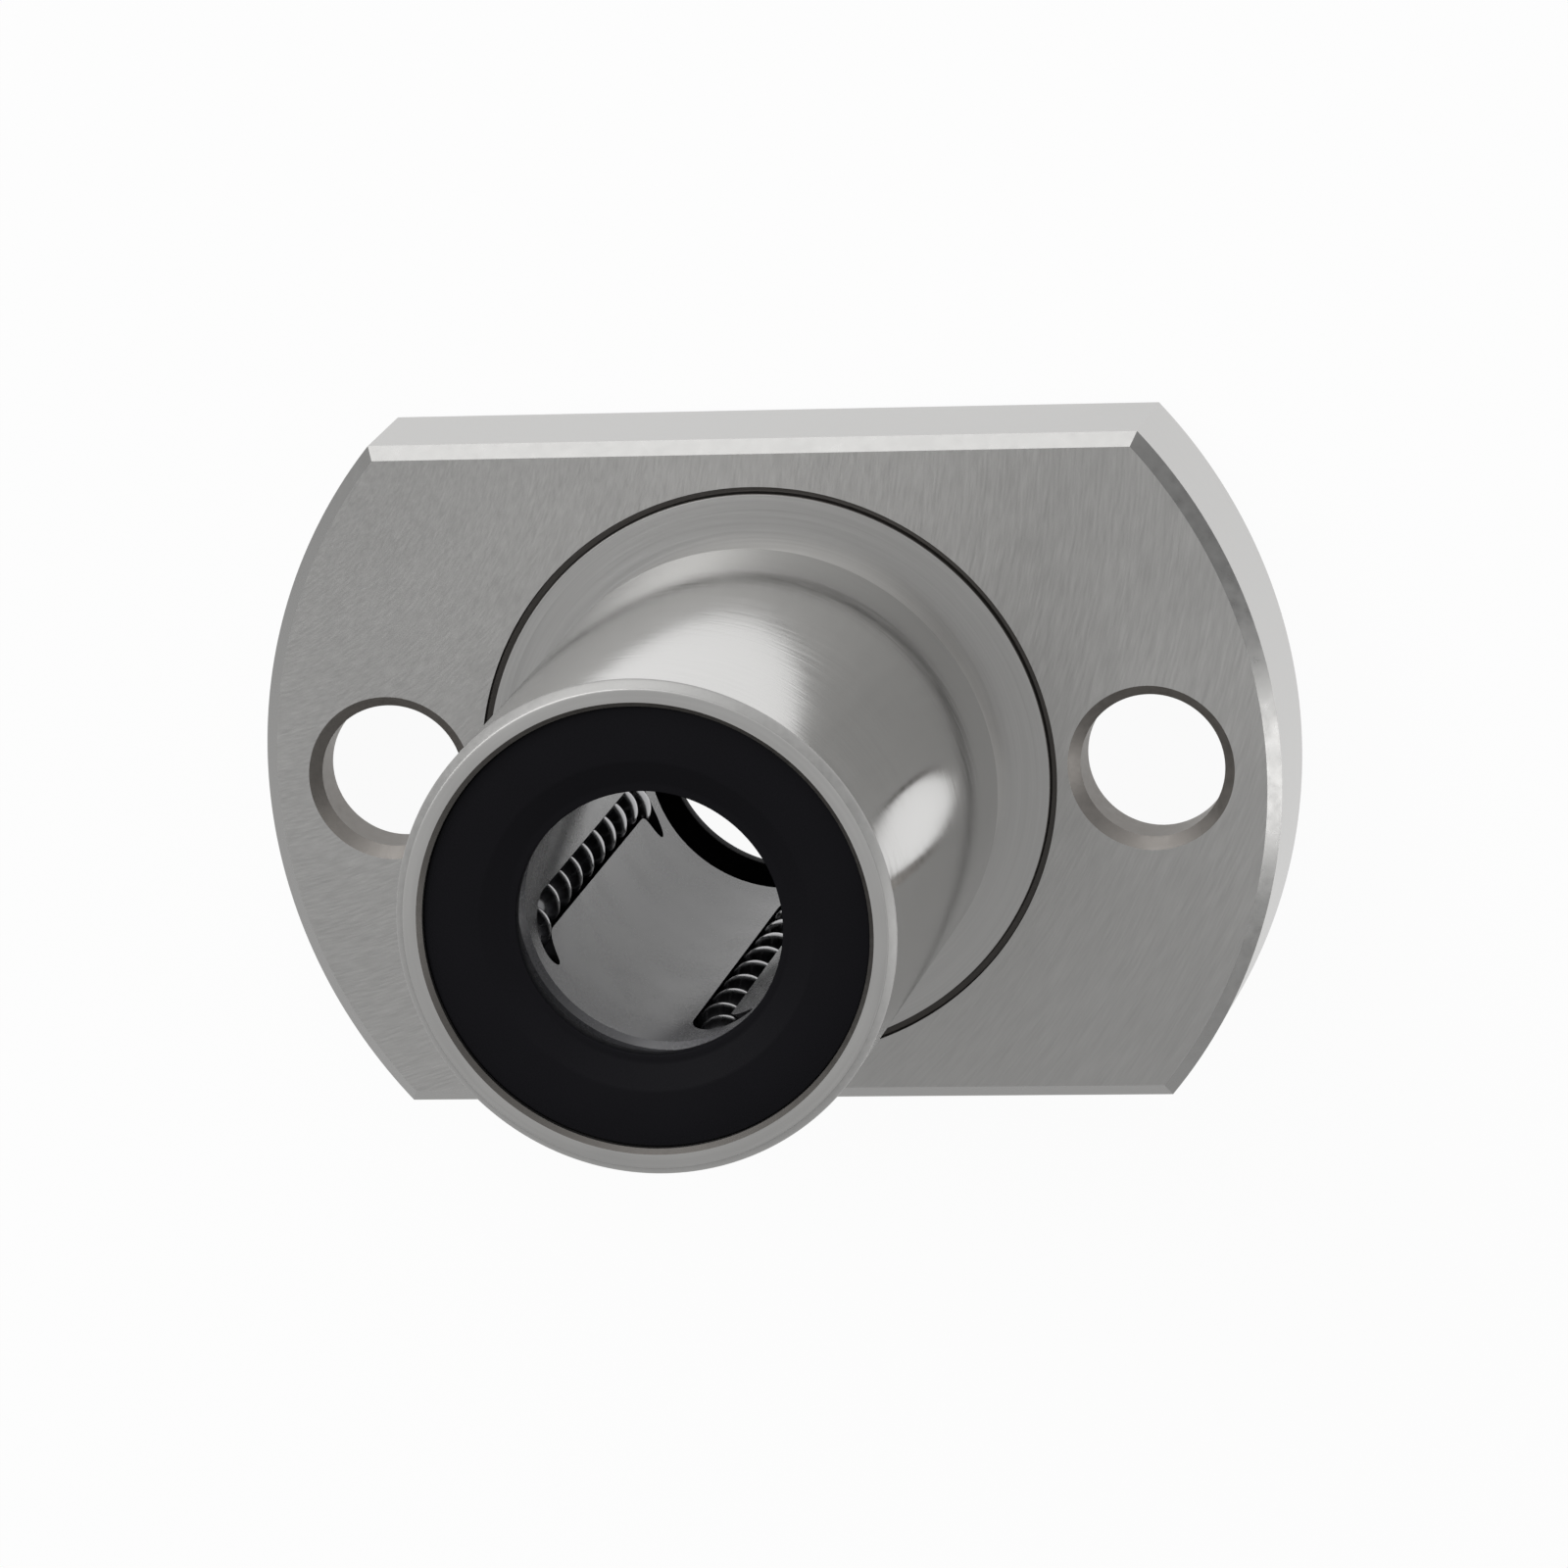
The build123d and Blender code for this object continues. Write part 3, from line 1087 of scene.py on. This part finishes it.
def ball_tracks(cage, balls):
    """Closed channels of the four circuits: two straight rows joined by two half turns."""
    path = circuit_path(balls)
    bm = bmesh.new()
    for angle in circuit_angles(balls):
        before = set(bm.verts)
        circle = bmesh.ops.create_circle(
            bm,
            cap_ends=False,
            segments=TRACK_SECTION_STEPS,
            radius=cage.track_radius,
            matrix=Matrix.Translation((path.load_radius, 0.0, path.flange_tangent)),
        )
        rim = linked_edges(circle["verts"])
        for tangent, direction in ((path.nose_tangent, 1), (path.flange_tangent, -1)):
            moved = bmesh.ops.extrude_edge_only(bm, edges=rim)["geom"]
            verts = only(bmesh.types.BMVert, moved)
            along_row = (0.0, 0.0, direction * path.row_length)
            bmesh.ops.translate(bm, vec=along_row, verts=verts)
            turned = bmesh.ops.spin(
                bm,
                geom=verts + only(bmesh.types.BMEdge, moved),
                cent=(path.load_radius, path.turn_radius, tangent),
                axis=(-1.0, 0.0, 0.0),
                angle=math.pi,
                steps=TRACK_TURN_STEPS,
                use_merge=False,
            )
            rim = only(bmesh.types.BMEdge, turned["geom_last"])
        verts = [vert for vert in bm.verts if vert not in before]
        turn_about_shaft(bm, verts, angle)
    return bm


class BEARING_OT_cage(bpy.types.Operator):
    """Build the ball cage with its tracks"""

    bl_idname = "bearing.cage"
    bl_label = "Ball cage"

    def execute(self, context):
        cage = in_millimetres(context.scene.bearing_cage)
        balls = in_millimetres(context.scene.bearing_balls)
        low, high, chamfer = CAGE_LOW.z, CAGE_HIGH.z, cage.end_chamfer
        section = [
            (cage.inner_radius + chamfer, low),
            (cage.outer_radius - chamfer, low),
            (cage.outer_radius, low + chamfer),
            (cage.outer_radius, high - chamfer),
            (cage.outer_radius - chamfer, high),
            (cage.inner_radius + chamfer, high),
            (cage.inner_radius, high - chamfer),
            (cage.inner_radius, low + chamfer),
        ]
        bm = bmesh.new()
        spin_full(bm, draw_outline(bm, section, closed=True), CAGE_STEPS)
        bm = cut_away(bm, land_grooves(cage, balls))
        bm = cut_away(bm, ball_tracks(cage, balls))
        resin = cage_resin(cage.resin)
        add_piece("cage", bm, [resin], "bearing_housing", "cage_resin", "ball_cage")
        return {"FINISHED"}


def ball_places(balls, path):
    """Places of a circuit's balls before it is turned to its angle, by group, in millimetres."""
    first = MIDDLE - path.spacing * (balls.balls_per_row - 1) / 2
    heights = [first + path.spacing * index for index in range(balls.balls_per_row)]
    groups = {
        "load_row": [(0.0, height) for height in heights],
        "return_row": [(2 * path.turn_radius, height) for height in heights],
        "nose_turn": [],
        "flange_turn": [],
    }
    ends = (("nose_turn", path.nose_tangent, 1), ("flange_turn", path.flange_tangent, -1))
    for name, tangent, direction in ends:
        for index in range(balls.balls_per_turn):
            angle = math.pi / balls.balls_per_turn * (index + 0.5)
            sideways = path.turn_radius * (1 - math.cos(angle))
            height = tangent + direction * path.turn_radius * math.sin(angle)
            groups[name].append((sideways, height))
    return groups


class BEARING_OT_balls(bpy.types.Operator):
    """Build the balls of the four circuits"""

    bl_idname = "bearing.balls"
    bl_label = "Balls"

    def execute(self, context):
        balls = in_millimetres(context.scene.bearing_balls)
        path = circuit_path(balls)
        steel = polished_steel("ball_steel", balls.steel, 0.18, 0.26)
        for number, angle in enumerate(circuit_angles(balls), start=1):
            turn = Matrix.Rotation(angle, 4, "Z")
            for group, places in ball_places(balls, path).items():
                bm = bmesh.new()
                for sideways, height in places:
                    centre = turn @ Vector((path.load_radius, sideways, height))
                    bmesh.ops.create_icosphere(
                        bm,
                        subdivisions=BALL_SUBDIVISIONS,
                        radius=balls.ball_diameter / 2,
                        matrix=Matrix.Translation(centre),
                    )
                body = f"circuit_{number}_{group}"
                add_piece(f"{body}_set", bm, [steel], body, "ball_steel", f"{body}_balls")
        return {"FINISHED"}


def floor_material(stage):
    """Pale floor that shows mostly plain white and keeps a soft shadow."""
    shader = Shader(bpy.data.materials.new("pale_floor"))
    diffuse = shader.node("ShaderNodeBsdfDiffuse", inputs={"Color": (*stage.floor, 1.0)})
    white = shader.node("ShaderNodeEmission", inputs={"Strength": 1.0})
    camera = shader.node("ShaderNodeLightPath", output="Is Camera Ray")
    glossy = shader.node("ShaderNodeLightPath", output="Is Glossy Ray")
    through = shader.node("ShaderNodeLightPath", output="Is Transmission Ray")
    mirrored = (glossy + through) * stage.mirrored_whiteness
    share = shader.spread(camera * stage.floor_whiteness + mirrored, 0.0, 1.0)
    mixed = shader.node("ShaderNodeMixShader", inputs={0: share, 1: diffuse, 2: white})
    shader.node("ShaderNodeOutputMaterial", inputs={"Surface": mixed})
    return shader.owner


def paint_sky(world, front, back):
    """Bright sky behind the bearing and softer grey in front, plain white to the camera."""
    shader = Shader(world)
    direction = shader.node("ShaderNodeTexCoord", output="Generated")
    towards_back = shader.split(direction)[1]
    grey = shader.spread(towards_back, 0.5, 0.85, front, back)
    plain_white = (1.0, 1.0, 1.0, 1.0)
    sky = shader.node("ShaderNodeBackground", inputs={"Color": plain_white, "Strength": grey})
    white = shader.node("ShaderNodeBackground", inputs={"Color": plain_white, "Strength": 1.0})
    camera = shader.node("ShaderNodeLightPath", output="Is Camera Ray")
    mixed = shader.node("ShaderNodeMixShader", inputs={0: camera, 1: sky, 2: white})
    shader.node("ShaderNodeOutputWorld", inputs={"Surface": mixed})


def soft_light(name, place, size, watts):
    """A square area light that faces the bearing; place and size are in millimetres."""
    data = bpy.data.lights.new(name, "AREA")
    data.size = size * MM
    data.energy = watts
    light = bpy.data.objects.new(name, data)
    light.location = Vector(place) * MM
    light.rotation_euler = (-light.location).to_track_quat("-Z", "Y").to_euler()
    bpy.context.scene.collection.objects.link(light)


class BEARING_OT_stage(bpy.types.Operator):
    """Build the floor, the light and the camera"""

    bl_idname = "bearing.stage"
    bl_label = "Stage"

    def execute(self, context):
        scene = context.scene
        stage = in_millimetres(scene.bearing_stage)
        bm = bmesh.new()
        below = Matrix.Translation((0.0, 0.0, -FLOOR_DROP * MM))
        reach = FLOOR_REACH * MM
        bmesh.ops.create_grid(bm, x_segments=1, y_segments=1, size=reach, matrix=below)
        mesh = bpy.data.meshes.new("floor")
        bm.to_mesh(mesh)
        bm.free()
        mesh.materials.append(floor_material(stage))
        floor = bpy.data.objects.new("floor", mesh)
        scene.collection.objects.link(floor)

        world = bpy.data.worlds.new("studio")
        scene.world = world
        paint_sky(world, stage.front_sky, stage.back_sky)
        soft_light("key_light", (-240.0, 230.0, 300.0), size=220.0, watts=stage.key_watts)
        soft_light("side_light", (380.0, -95.0, 86.0), size=150.0, watts=stage.side_watts)
        soft_light("back_light", (-90.0, 430.0, 140.0), size=260.0, watts=stage.back_watts)

        camera_data = bpy.data.cameras.new("camera")
        camera = bpy.data.objects.new("camera", camera_data)
        scene.collection.objects.link(camera)
        eye = Vector((69.2, 80.8, 333.4))
        target = Vector((-0.45, -1.45, 0.55))
        up = Vector((0.013, 0.970, -0.242))
        back = (eye - target).normalized()
        right = up.cross(back).normalized()
        camera.matrix_world = Matrix.Translation(eye * MM) @ Matrix(
            (right, back.cross(right), back)
        ).transposed().to_4x4()
        camera_data.lens = stage.lens
        camera_data.sensor_width = 36.0
        camera_data.clip_start = 0.01
        camera_data.clip_end = 10.0
        scene.camera = camera
        scene.view_settings.view_transform = "Standard"
        return {"FINISHED"}


class BEARING_PT_pieces(bpy.types.Panel):
    """Lists the bearing's pieces"""

    bl_idname = "BEARING_PT_pieces"
    bl_label = "Flanged linear bearing"
    bl_space_type = "VIEW_3D"
    bl_region_type = "UI"
    bl_category = "Bearing"

    def draw(self, context):
        column = self.layout.column(align=True)
        for operator in OPERATORS:
            column.operator(operator.bl_idname)


SETTINGS = {
    "bearing_housing": BearingHousingSettings,
    "bearing_bore": BearingBoreSettings,
    "bearing_seal": BearingSealSettings,
    "bearing_ring": BearingRingSettings,
    "bearing_cage": BearingCageSettings,
    "bearing_balls": BearingBallSettings,
    "bearing_stage": BearingStageSettings,
}
OPERATORS = (
    BEARING_OT_stage,
    BEARING_OT_housing,
    BEARING_OT_seals,
    BEARING_OT_stop_rings,
    BEARING_OT_cage,
    BEARING_OT_balls,
)


def register():
    for name, group in SETTINGS.items():
        bpy.utils.register_class(group)
        setattr(bpy.types.Scene, name, bpy.props.PointerProperty(type=group))
    for operator in OPERATORS:
        bpy.utils.register_class(operator)
    bpy.utils.register_class(BEARING_PT_pieces)


def unregister():
    bpy.utils.unregister_class(BEARING_PT_pieces)
    for operator in reversed(OPERATORS):
        bpy.utils.unregister_class(operator)
    for name, group in SETTINGS.items():
        delattr(bpy.types.Scene, name)
        bpy.utils.unregister_class(group)


def main():
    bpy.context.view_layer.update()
    register()
    bpy.ops.bearing.stage()
    bpy.ops.bearing.housing()
    bpy.ops.bearing.seals()
    bpy.ops.bearing.stop_rings()
    bpy.ops.bearing.cage()
    bpy.ops.bearing.balls()


if __name__ == "__main__":
    main()
